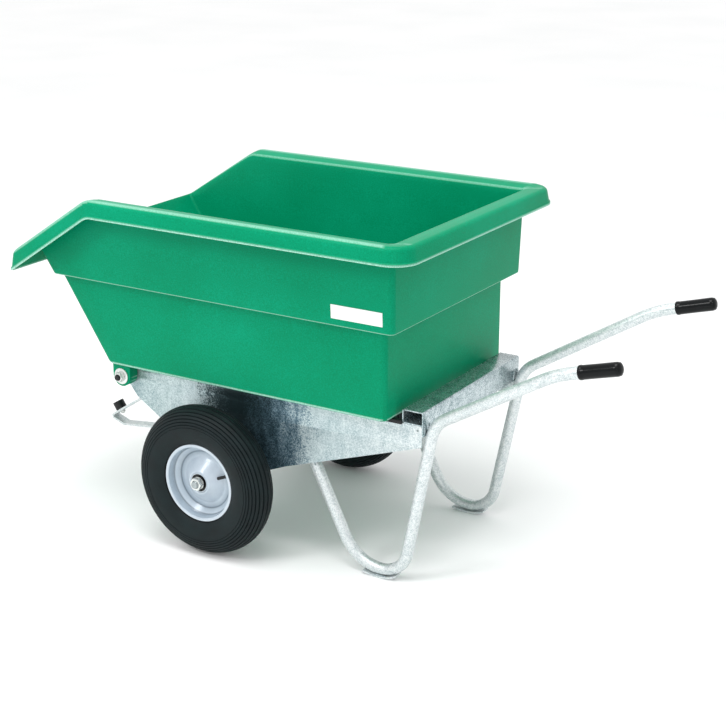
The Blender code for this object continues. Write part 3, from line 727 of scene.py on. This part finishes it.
def make_tub():
    tub = pulled_shell(tub_rings())
    apply_modifier(tub, "SOLIDIFY", thickness=TUB_WALL, offset=-1.0, use_even_offset=True,
                   use_quality_normals=True)
    soften(tub, 0.0016, 3, 60.0)
    mark_painted_highlights(tub)
    for _, side in SIDES:
        top = TUB_FLOOR_Z + TUB_WALL / 2
        tab = [(PIVOT_X - LUG_R, top)] + arc(PIVOT_X, PIVOT_Z, LUG_R, 180.0, 360.0, 32)
        tab += [(PIVOT_X + LUG_R, top)]
        lug = outline_solid([tab, disc_outline(PIVOT_X, PIVOT_Z, 0.0113, 40)],
                            side * sum(LUG_Y) / 2, LUG_Y[1] - LUG_Y[0])
        soften(lug, 0.0018, 3, 50.0)
        merge_shape(tub, lug, "UNION")
    return piece(tub, "tub_shell", GREEN, "tub", "tub_green", "tub", angle=40.0)


LABEL_SIZE = (0.143, 0.001, 0.035)
LABEL_X, LABEL_Z = 0.1915, 0.7095


def make_label():
    """A blank film plate with rounded corners, on the wall's draft."""
    lean = math.atan((TOP_HALF - STEP_HALF) / (RIM_Z - TUB_WALL - LEDGE_Z))
    wall_y = STEP_HALF + (LABEL_Z - LEDGE_Z) * math.tan(lean)
    label = fresh(bpy.ops.mesh.primitive_cube_add, size=1.0, location=(0.0, 0.0, 0.0))
    label.scale = LABEL_SIZE
    settle(label)
    soften(label, 0.0003, 2, 60.0)
    bpy.ops.object.mode_set(mode="EDIT")
    bpy.ops.mesh.select_all(action="DESELECT")
    mesh = bmesh.from_edit_mesh(label.data)
    for face in mesh.faces:
        face.select_set(face.normal.y < -0.9)
    bmesh.update_edit_mesh(label.data)
    bpy.ops.mesh.inset(thickness=0.0022, depth=0.0)
    bpy.ops.mesh.inset(thickness=0.0004, depth=-0.0002)
    bpy.ops.object.mode_set(mode="OBJECT")
    place = Vector((LABEL_X, -(wall_y + GAP + LABEL_SIZE[1] / 2), LABEL_Z))
    settle(label, Matrix.Translation(place) @ Matrix.Rotation(lean, 4, "X"))
    return piece(label, "name_plate_blank", LABEL_FILM, "tub", "label_white", "label_plate")


# ---- frame
def make_side_plates():
    discs = [(PLATE_REAR - 0.004, PLATE_TOP - 0.004, 0.004),
             (PIVOT_X, PIVOT_Z, PLATE_TOP - PIVOT_Z), (CROSS.x, CROSS.y, 0.027),
             (AXLE_X, AXLE_Z, 0.030), (AXLE_X + 0.190, 0.245, 0.0),
             (PLATE_REAR - 0.004, 0.3805, 0.004)]
    loops = [belt(discs), disc_outline(PIVOT_X, PIVOT_Z, BOLT_R + GAP, 32),
             disc_outline(AXLE_X, AXLE_Z, 0.0153, 40), disc_outline(0.3160, 0.4200, 0.0032, 20)]
    for name, side in SIDES:
        plate = outline_solid(loops, side * sum(PLATE_Y) / 2, PLATE_Y[1] - PLATE_Y[0])
        soften(plate, 0.0005, 2, 60.0)
        piece(plate, "frame_plate_" + name, PLATE_ZINC, "frame", "galvanised",
              "side_plate_" + name)


def make_cross_members():
    section = [disc_outline(CROSS.x, CROSS.y, CROSS_R, 64),
               disc_outline(CROSS.x, CROSS.y, CROSS_R - 0.0026, 64)]
    tube = outline_solid(section, 0.0, 2 * (PLATE_Y[0] - GAP))
    piece(tube, "cross_tube", TUBE_ZINC, "frame", "galvanised", "front_cross_tube")
    front, rear = BEAM_X
    hem, under, top = BEAM_Z
    wall = 0.003
    corners = [(front, under), (rear - wall, under), (rear - wall, hem), (rear, hem),
               (rear, top), (front, top)]
    outline = rounded_loop(corners, [0.004, 0.0006, 0.0006, 0.0006, 0.0045, 0.0045], 5)
    hollow = rounded_loop([(front + wall, under + wall), (rear - wall, under + wall),
                           (rear - wall, top - wall), (front + wall, top - wall)],
                          [0.0012, 0.0004, 0.0015, 0.0015], 3)
    beam = outline_solid([outline, hollow], 0.0, 2 * PLATE_Y[1])
    soften(beam, 0.0004, 2, 60.0)
    piece(beam, "cross_beam", BEAM_ZINC, "frame", "galvanised", "rear_beam")


def make_rest_strips():
    middle = sum(PLATE_Y) / 2
    slot, outside = 0.0018, 0.0060
    low, roof, top = PLATE_TOP - 0.003, PLATE_TOP + GAP, TUB_FLOOR_Z - GAP
    start, end = 0.100, BEAM_X[0] - GAP
    for name, side in SIDES:
        y = side * middle
        loop = [(y - outside, low), (y - slot, low), (y - slot, roof), (y + slot, roof),
                (y + slot, low), (y + outside, low), (y + outside, top), (y - outside, top)]
        loop = rounded_loop(loop, [0.0008, 0.0008, 0.0, 0.0, 0.0008, 0.0008, 0.0025, 0.0025], 3)
        edging = outline_solid([loop], (start + end) / 2, end - start, across=True)
        soften(edging, 0.0004, 1, 70.0)
        piece(edging, "rubber_edging_" + name, MOULDED_RUBBER, "frame", "rubber_black",
              "rest_strip_" + name)


def grip_axis(side):
    return Vector((0.1061, side * 0.0020, 0.0290)).normalized()


def grip_end(side):
    return Vector((GRIP_END.x, side * GRIP_END.y, GRIP_END.z))


def make_handles():
    for name, side in SIDES:
        corners = [(-0.0230, side * LEG_Y, 0.3330), (0.1316, side * LEG_Y, 0.0201),
                   (0.2680, side * LEG_Y, 0.0201), (0.3522, side * LEG_Y, 0.4380),
                   (0.6900, side * 0.2880, 0.6400), grip_end(side) - grip_axis(side) * 0.0055]
        path = rounded_path(corners, (0.120, 0.075, 0.085, 0.300), 22)
        tube = swept(path, TUBE_R, 40)
        soften(tube, 0.0008, 2, 60.0)
        piece(tube, "leg_and_handle_tube_" + name, TUBE_ZINC, "frame", "galvanised",
              "handle_tube_" + name, angle=50.0)


def make_grips():
    """Dipped vinyl grips: domed end, slight swell at the end and a rolled lip at the mouth."""
    bore = TUBE_R + GAP
    outer = smooth_path([(0.0, 0.0), (0.0060, -0.0004), (0.0115, -0.0022), (0.0150, -0.0056),
                         (0.0166, -0.0105), (0.0168, -0.0200), (0.0166, -0.0600),
                         (0.0167, 0.0080 - GRIP_LENGTH)], 4)
    lip = rounded_path([(0.0167, 0.0080 - GRIP_LENGTH), (0.0174, 0.0055 - GRIP_LENGTH),
                        (0.0174, -GRIP_LENGTH),
                        (bore, -GRIP_LENGTH), (bore, -0.0050)], (0.003, 0.0012, 0.0006), 4)
    section = [(max(0.0, p.x), p.y) for p in outer[:-1] + lip] + [(0.0, -0.0050)]
    for name, side in SIDES:
        place = along(grip_axis(side), grip_end(side))
        piece(turned_at(place, section, closed=False), "hand_grip_" + name, GRIP_VINYL,
              "frame", "grip_black", "grip_" + name, angle=50.0)


def make_skids():
    lowest, thickness = 0.2090, 0.0045

    def underside(x):
        return (x - lowest) ** 2 / (2 * (0.30 if x < lowest else 0.085))

    xs = [lowest - 0.052 + 0.0965 * i / 24 for i in range(25)]
    loop = [(x, underside(x)) for x in xs]
    loop += [(x, underside(x) + thickness) for x in xs[::-1]]
    for name, side in SIDES:
        skid = outline_solid([loop], side * LEG_Y, 0.030)
        soften(skid, 0.0007, 2, 60.0)
        piece(skid, "leg_skid_" + name, TUBE_ZINC, "frame", "galvanised", "foot_skid_" + name)


BAR_T = 0.006
NOSE = Vector((-0.8507, 0.1540))
HEEL = Vector((-0.8040, 0.1370))
ARM = (CROSS - NOSE).normalized()
ARM_OUT = Vector((-ARM.y, 0.0, ARM.x))
BUFFER_UP_ARM = 0.0383
STUD_FOOT = Vector((NOSE.x, 0.0, NOSE.y)) + Vector((ARM.x, 0.0, ARM.y)) * BUFFER_UP_ARM
BUFFER_SEAT = STUD_FOOT + ARM_OUT * (BAR_T / 2 + GAP)


def make_tipping_stop():
    axle = Vector((AXLE_X, AXLE_Z))
    top_end = CROSS - ARM * (CROSS_R + GAP)
    low_end = axle + (HEEL - axle).normalized() * (0.015 + GAP)
    path = rounded_path([low_end, HEEL, NOSE, top_end], (0.015, 0.006), 8)
    bar = outline_solid([strip(path, BAR_T)], 0.0, 0.030)
    soften(bar, 0.0008, 2, 60.0)
    piece(bar, "stop_bar", TUBE_ZINC, "frame", "galvanised", "stop_bracket")
    section = rounded_path([(0.0, 0.024), (0.0163, 0.024), (0.0165, 0.0), (0.0043, 0.0),
                            (0.0043, 0.010), (0.0, 0.010)], (0.0012, 0.0008, 0.0, 0.0), 3)
    buffer = turned_at(along(ARM_OUT, BUFFER_SEAT), section, closed=False)
    piece(buffer, "rubber_buffer", MOULDED_RUBBER, "frame", "rubber_black", "stop_buffer")
    below = along(ARM_OUT, STUD_FOOT - ARM_OUT * (BAR_T / 2 + GAP))
    nut = settle(hexagon_solid(0.013, 0.0042, -0.0062, 0.0), below)
    piece(nut, "buffer_lock_nut", NUT_ZINC, "frame", "zinc_plated", "buffer_nut")
    stud = turned_at(below, threaded_section(0.0040, 0.00125, -0.0085, 0.0163), 32, False)
    piece(stud, "buffer_screw", NUT_ZINC, "frame", "zinc_plated", "buffer_stud")


def threaded_section(radius, pitch, low, high):
    """A screw's section with rings at its thread's pitch and chamfered ends."""
    chamfer = pitch * 0.9
    section = [(0.0, high), (radius - chamfer * 0.6, high), (radius, high - chamfer)]
    count = int((high - low - 2 * chamfer) / pitch)
    for i in range(count):
        z = high - chamfer - i * pitch
        section += [(radius, z - pitch * 0.15), (radius - pitch * 0.42, z - pitch * 0.5),
                    (radius, z - pitch * 0.85)]
    return section + [(radius, low + chamfer), (radius - chamfer * 0.6, low), (0.0, low)]


def make_axle():
    past_hub, thread_length, pitch = 0.0205, 0.0185, 0.0025
    reach = WHEEL_Y + HUB_HALF + past_hub
    shoulder = WHEEL_Y - HUB_HALF - 2 * GAP
    thread = threaded_section(JOURNAL_R, pitch, reach - thread_length, reach)[:-2]
    half = thread + [(JOURNAL_R, shoulder), (0.0145, shoulder), (0.0150, shoulder - 0.0006)]
    section = half + [(r, -h) for r, h in half[::-1]]
    centre = Vector((AXLE_X, 0.0, AXLE_Z))
    bar = turned_at(along((0, 1, 0), centre), section, 48, False)
    piece(bar, "axle_bar", AXLE_STEEL, "frame", "galvanised", "axle")
    for name, side in SIDES:
        at = along((0, side, 0), centre)
        low = WHEEL_Y + HUB_HALF + GAP
        top = low + WASHER_T
        washer = turned_at(at, ring_section(JOURNAL_R + GAP, 0.0168, low, top))
        piece(washer, "wheel_washer_" + name, NUT_ZINC, "frame", "zinc_plated",
              "axle_washer_" + name)
        nut = hexagon_solid(AXLE_NUT, JOURNAL_R + GAP, top + GAP, top + GAP + AXLE_NUT_T)
        settle(nut, at)
        piece(nut, "wheel_nut_" + name, NUT_ZINC, "frame", "zinc_plated", "axle_nut_" + name)


def make_pivots():
    for name, side in SIDES:
        at = along((0, side, 0), Vector((PIVOT_X, 0.0, PIVOT_Z)))
        head_y = PLATE_Y[0] - GAP
        shank = threaded_section(BOLT_R, 0.0020, head_y - 0.004, BOLT_REACH)
        bolt = turned(shank, 48, closed=False)
        head = hexagon_solid(HINGE_NUT, 0.0, head_y - 0.010, head_y, chamfer_top=False)
        merge_shape(bolt, head, "UNION")
        settle(bolt, at)
        piece(bolt, "hinge_bolt_" + name, BOLT_BLACK, "frame", "bolt_black",
              "pivot_bolt_" + name)
        for piece_name, node, inner, outer, low, high, body in (
                ("hinge_spacer_", "pivot_spacer_", BOLT_R + GAP, 0.0150, PLATE_Y[1] + GAP,
                 LUG_Y[0] - GAP, "frame"),
                ("hinge_bush_", "pivot_bush_", BOLT_R + 0.00015, 0.0110, LUG_Y[0] + GAP,
                 LUG_Y[1] - GAP, "tub"),
                ("hinge_washer_", "pivot_washer_", BOLT_R + GAP, 0.0220, LUG_Y[1] + GAP,
                 LUG_Y[1] + GAP + WASHER_T, "frame")):
            ring = turned_at(at, ring_section(inner, outer, low, high))
            piece(ring, piece_name + name, NUT_ZINC, body, "zinc_plated", node + name)
        low = LUG_Y[1] + WASHER_T + 2 * GAP
        nut = settle(hexagon_solid(HINGE_NUT, BOLT_R + GAP, low, low + HINGE_NUT_T), at)
        piece(nut, "hinge_nut_" + name, NUT_ZINC, "frame", "zinc_plated", "pivot_nut_" + name)


def make_welds():
    """Weld beads where tubes, plates and beam meet."""
    for name, side in SIDES:
        beam_face, heights = BEAM_X[1] + 0.0006, (0.408, 0.420, 0.434)
        beads = {
            "beam_side": [(beam_face, side * (LEG_Y + 0.0115), z) for z in heights],
            "beam_inner": [(beam_face, side * (LEG_Y - 0.0115), z) for z in heights],
            "strut_rear": [(0.0135 + k * 0.0060, side * 0.2517, 0.2790 - k * 0.0125)
                           for k in range(-2, 2)],
            "cross_top": [(CROSS.x + (CROSS_R + 0.001) * math.cos(a), side * 0.2508,
                           CROSS.y + (CROSS_R + 0.001) * math.sin(a))
                          for a in [math.radians(10.0 * k) for k in range(37)]],
        }
        for bead, path in beads.items():
            obj = weld_bead(path, 0.0022)
            piece(obj, "weld_" + bead + "_" + name, WELD_ZINC, "frame", "galvanised")
        skid = weld_bead([(x, side * (LEG_Y + 0.012), 0.0062) for x in (0.190, 0.209, 0.226)],
                         0.0018)
        piece(skid, "weld_skid_" + name, WELD_ZINC, "frame", "galvanised")


# ---- wheels
def tyre_section():
    """Closed section of the tyre: ribbed tread and shoulders, smooth sidewalls."""
    flank = smooth_path([(0.1046, 0.0322), (0.1075, 0.0372), (0.1180, 0.0436),
                         (0.1320, 0.0480), (0.1480, 0.0490), (0.1640, 0.0470),
                         (0.1790, 0.0395), (0.1900, 0.0270), (0.1968, 0.0130),
                         (0.1995, 0.0)], 10)
    crown_first = flank[::-1]
    distance = [0.0]
    for a, b in zip(crown_first, crown_first[1:]):
        distance.append(distance[-1] + (b - a).length)

    def at(s):
        for i, d in enumerate(distance[1:], start=1):
            if s <= d:
                share = (s - distance[i - 1]) / (d - distance[i - 1])
                a, b = crown_first[i - 1], crown_first[i]
                run = (b - a).normalized()
                return a.lerp(b, share), Vector((-run.y, run.x))
        raise ValueError(s)

    # grooves between the ribs: distance from the middle of the tread, width and depth
    grooves = [(0.0070, 0.0036, 0.0034), (0.0200, 0.0034, 0.0032), (0.0315, 0.0032, 0.0030),
               (0.0415, 0.0028, 0.0026), (0.0505, 0.0026, 0.0022), (0.0590, 0.0024, 0.0019),
               (0.0665, 0.0022, 0.0016), (0.0735, 0.0020, 0.0012)]
    # a groove's shape: each rib's edge stands up a little and catches the light
    shape = ((-1.3, 0.0), (-0.85, -0.20), (-0.55, -0.12), (-0.38, 0.75), (0.0, 1.0),
             (0.38, 0.75), (0.55, -0.12), (0.85, -0.20), (1.3, 0.0))
    half = [crown_first[0]]
    last = 0.0
    for middle, width, depth in grooves:
        for across, down in shape:
            point, normal = at(middle + across * width)
            if normal.x > 0:
                normal = -normal
            half.append(point + normal * depth * down)
        last = middle + shape[-1][0] * width
    half += [p for p, d in zip(crown_first, distance) if d > last + 0.0008]
    inside = rounded_path([(0.1046, 0.0322), (0.1035, 0.0313), (0.0980, 0.0310),
                           (0.0985, 0.0190), (0.1210, 0.0380), (0.1600, 0.0410),
                           (0.1860, 0.0180), (0.1880, 0.0)],
                          (0.0005, 0.0015, 0.0015, 0.006, 0.010, 0.010), 3)[1:-1]
    upper = half + inside
    lower = [Vector((p.x, -p.y)) for p in upper[::-1]]
    return lower + upper


RIM_CORNERS = [(0.0268, 0.0312), (0.0310, 0.0300), (0.0620, 0.0027), (0.0770, 0.0027),
               (0.0935, 0.0160), (0.0955, 0.0338), (RIM_R, 0.0345), (RIM_R, 0.0320),
               (0.0975, 0.0315), (0.0958, 0.0140), (0.0780, 0.0002), (0.0608, 0.0002),
               (0.0298, 0.0275), (0.0268, 0.0287)]
RIM_RADII = [0.0008, 0.002, 0.008, 0.0015, 0.002, 0.0015, 0.0011, 0.0011, 0.003, 0.004, 0.003,
             0.006, 0.002, 0.0008]


def make_wheel(name, side):
    body = "wheel_" + name
    centre = Vector((AXLE_X, side * WHEEL_Y, AXLE_Z))
    out = Vector((0, side, 0))

    def fit(section, axis=out, steps=WHEEL_STEPS):
        return turned_at(along(axis, centre), section, steps)

    tyre = fit(tyre_section())
    piece(tyre, "ribbed_tyre_" + name, TYRE_RUBBER, body, "tyre_black", "tyre_" + name,
          angle=50.0)
    skin = [(0.1005, 0.0120), (0.1215, 0.0350), (0.1570, 0.0385), (0.1825, 0.0160)]
    skin = rounded_loop(skin + [(r, -h) for r, h in skin[::-1]], 0.008, 4)
    tube = fit(skin[::-1], steps=64)
    rim = rounded_loop(RIM_CORNERS, RIM_RADII, 4)
    rim_outer = fit(rim)
    rim_inner = fit(rim, -out)
    piece(rim_inner, "rim_half_inner_" + name, RIM_PAINT, body, "rim_silver",
          "rim_inner_" + name, angle=50.0)
    spoke = Vector((math.cos(VALVE_ANGLE), 0.0, math.sin(VALVE_ANGLE)))

    def at(radius, height):
        return centre + spoke * radius + out * height

    root, tip = at(0.0975, 0.0085), at(0.0550, 0.0200)
    lean = (tip - root).normalized()
    foot = along(lean, root)
    hole = [(0.0, 0.03), (0.0062, 0.03), (0.0062, -0.001), (0.0, -0.001)]
    merge_shape(rim_outer, turned_at(foot, hole, 40, False), "DIFFERENCE")
    piece(rim_outer, "rim_half_outer_" + name, RIM_PAINT, body, "rim_silver",
          "rim_outer_" + name, angle=50.0)
    hole = [(0.0, 0.002), (0.0030, 0.002), (0.0030, -0.010), (0.0, -0.010)]
    apply_modifier(tube, "SOLIDIFY", thickness=0.0025, offset=-1.0)
    merge_shape(tube, turned_at(foot, hole, 24, False), "DIFFERENCE")
    piece(tube, "air_tube_" + name, TUBE_RUBBER, body, "rubber_black", "inner_tube_" + name)
    stem = rounded_path([(0.0, STEM), (0.0040, STEM), (0.0042, 0.0230), (0.0050, 0.0200),
                         (0.0054, 0.0100), (0.0054, 0.0), (0.0, 0.0)],
                        (0.0006, 0.001, 0.002, 0.003, 0.0008), 3)
    piece(turned_at(foot, stem, 32, False), "valve_body_" + name, MOULDED_RUBBER, body,
          "rubber_black", "valve_stem_" + name)
    length = (tip - root).length - STEM - GAP
    cap = rounded_path([(0.0, length), (0.0034, length), (0.0042, length - 0.0014),
                        (0.0042, 0.0), (0.0, 0.0)], (0.0008, 0.0008, 0.0004), 3)
    cap = turned_at(along(lean, root + lean * (STEM + GAP)), cap, 32, False)
    piece(cap, "valve_dust_cap_" + name, MOULDED_RUBBER, body, "rubber_black",
          "valve_cap_" + name)
    hub = ring_section(0.0238, 0.0262, -HUB_HALF, HUB_HALF)
    piece(fit(hub), "hub_sleeve_" + name, RIM_PAINT, body, "galvanised", "hub_tube_" + name)
    running = JOURNAL_R + 0.00013
    spacer = fit(ring_section(running, 0.0135, -0.0167, 0.0167), steps=64)
    piece(spacer, "hub_spacer_" + name, AXLE_STEEL, body, "bearing_steel",
          "bearing_spacer_" + name)
    for place, axis in (("outer", out), ("inner", -out)):
        # the inner ring meets the washer; the rubber seal lies sunk behind it
        section = [(running, 0.0310), (0.0130, 0.0310), (0.0132, 0.0268), (0.0150, 0.0264),
                   (0.0205, 0.0266), (0.0228, 0.0264), (0.0230, 0.0300), (0.0235, 0.0300),
                   (0.0235, 0.0170), (running, 0.0170)]
        bearing = fit(rounded_loop(section, 0.0002, 2), axis, 64)
        obj = piece(bearing, "ball_bearing_" + place + "_" + name, MOULDED_RUBBER, body,
                    "bearing_steel", "bearing_" + place + "_" + name, angle=30.0)
        obj.data.materials.append(NUT_ZINC)
        for face in obj.data.polygons:
            radius = (face.center - centre).cross(axis).length
            if not 0.0130 < radius < 0.0229:
                face.material_index = 1


make_tub()
make_label()
make_side_plates()
make_cross_members()
make_rest_strips()
make_handles()
make_grips()
make_skids()
make_tipping_stop()
make_axle()
make_pivots()
make_welds()
for side_name, side_sign in SIDES:
    make_wheel(side_name, side_sign)


# ---- floor, light and camera
def make_stage():
    floor = fresh(bpy.ops.mesh.primitive_plane_add, size=60.0, location=(0.0, 0.0, -0.0005))
    floor.name = "studio_floor"
    material, tree, shader, where = blank("studio_paper", Roughness=0.9)
    grain = add(tree, "ShaderNodeTexNoise", {"Vector": where, "Scale": per_mm(900.0)})
    tone = add(tree, "ShaderNodeValToRGB", {"Fac": grain.outputs["Fac"]},
               stops=[(0.3, "#FAFBFB"), (0.7, "#FFFFFF")])
    tree.links.new(tone.outputs["Color"], shader.inputs["Base Color"])
    floor.data.materials.append(material)
    world = bpy.data.worlds.new("studio_air")
    bpy.context.scene.world = world
    world.use_nodes = True
    bpy.context.scene.view_settings.view_transform = "Standard"
    background = world.node_tree.nodes["Background"]
    background.inputs["Color"].default_value = (1.0, 1.0, 1.0, 1.0)
    background.inputs["Strength"].default_value = 1.0
    lamps = (("key_softbox", (-1.6, -3.6, 3.4), 1.2, 50.0),
             ("fill_softbox", (2.4, -3.4, 1.8), 0.9, 5.0),
             ("top_softbox", (0.1, -0.7, 3.4), 2.0, 60.0))
    for name, place, size, power in lamps:
        data = bpy.data.lights.new(name, "AREA")
        data.size = size
        data.energy = power
        lamp = bpy.data.objects.new(name, data)
        bpy.context.scene.collection.objects.link(lamp)
        lamp.location = place
        aim = Vector((-0.05, 0.0, 0.45)) - Vector(place)
        lamp.rotation_euler = aim.to_track_quat("-Z", "Y").to_euler()


def make_camera():
    data = bpy.data.cameras.new("catalogue_camera")
    data.sensor_width = 36.0
    data.lens = 81.95
    data.dof.use_dof = False
    camera = bpy.data.objects.new("catalogue_camera", data)
    bpy.context.scene.collection.objects.link(camera)
    camera.location = (2.149, -3.481, 1.846)
    heading = Vector((-0.4968, 0.8066, -0.3204))
    camera.rotation_euler = heading.to_track_quat("-Z", "Y").to_euler()
    bpy.context.scene.camera = camera


make_stage()
make_camera()
